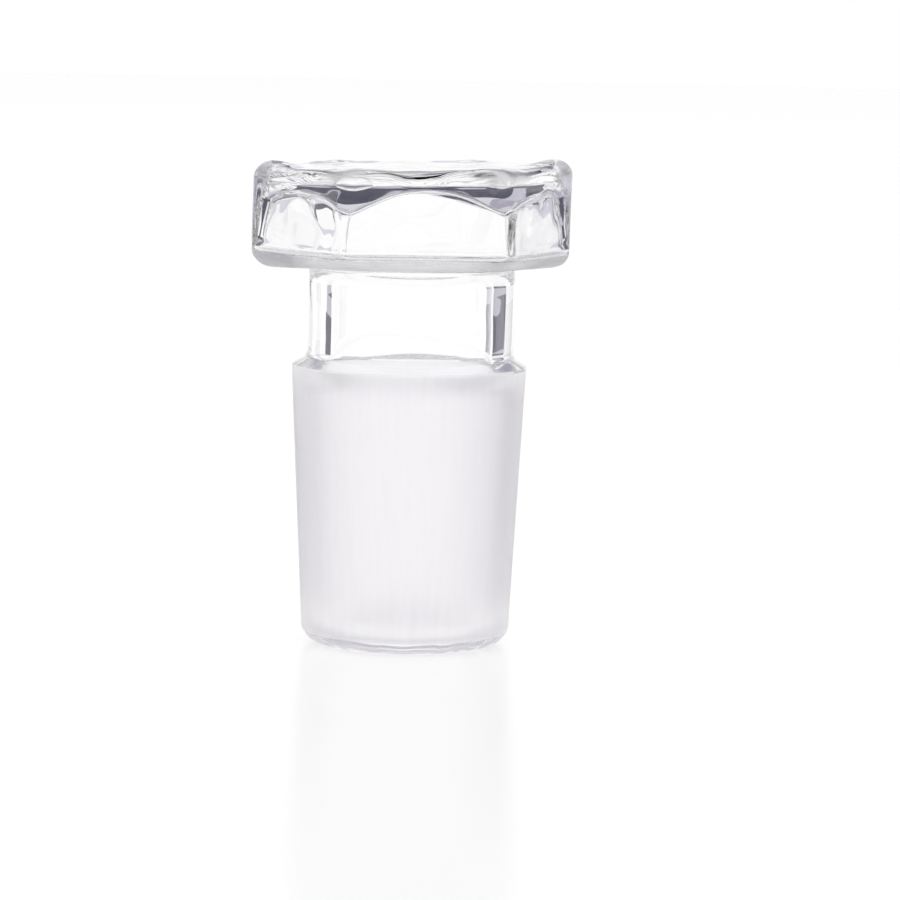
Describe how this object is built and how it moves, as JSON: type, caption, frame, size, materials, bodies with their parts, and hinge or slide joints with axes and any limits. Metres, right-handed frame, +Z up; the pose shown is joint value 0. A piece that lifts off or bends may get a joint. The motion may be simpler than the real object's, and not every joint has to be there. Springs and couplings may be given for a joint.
{
  "type": "hollow glass stopper",
  "caption": "Hollow clear glass stopper: hexagonal head with a dipped rim, short neck, frosted ground cone and closed rounded foot.",
  "frame": {"origin": "centre of the foot, on the surface that the stopper stands on", "axes": "+Z up the stopper's own axis from the foot to the head; +X towards one corner of the head, less the 6.5 degree turn of its flats"},
  "size_m": [0.0398, 0.037, 0.0604],
  "materials": {
    "glass": "clear, fire-polished glass on the head, neck and foot; finely ground and frosted on the cone"
  },
  "bodies": {
    "root": {"stopper": "glass"}
  },
  "joints": []
}
